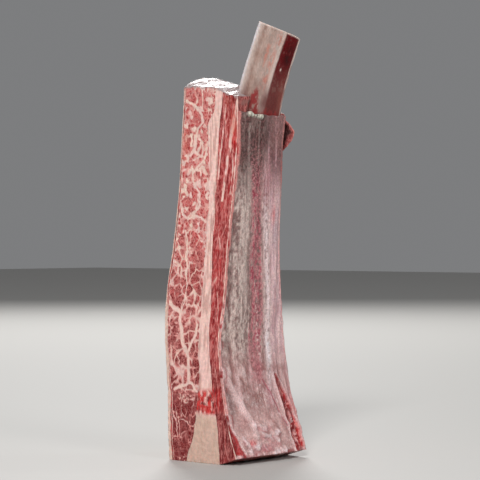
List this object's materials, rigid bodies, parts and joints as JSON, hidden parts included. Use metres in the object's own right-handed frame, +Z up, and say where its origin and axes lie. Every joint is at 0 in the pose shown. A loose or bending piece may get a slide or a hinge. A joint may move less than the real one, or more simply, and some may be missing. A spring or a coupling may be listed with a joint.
{
  "type": "raw beef rib section",
  "caption": "Raw beef rib with its meat, standing upright: a bare bone tip above marbled muscle, a fat seam and a membrane face.",
  "frame": {"origin": "centre of the bounding box, on the plane the foot stands on", "axes": "+Z up along the rib's length, -X out of the marbled cut face, -Y out of the membrane face, +Y out of the fat cap"},
  "size_m": [0.072, 0.0741, 0.29],
  "materials": {
    "outer_fat": "moist satin",
    "marbled_lean": "moist satin",
    "seam_fat": "moist satin",
    "rib_lean": "moist satin",
    "bone": "satin",
    "membrane": "wet sheen",
    "flap_lean": "moist satin"
  },
  "bodies": {
    "root": {"fat_cap": "outer_fat", "marbled_muscle": "marbled_lean", "fat_seam": "seam_fat", "rib_meat": "rib_lean", "rib_bone": "bone", "membrane": "membrane", "meat_flap": "flap_lean"}
  },
  "joints": []
}
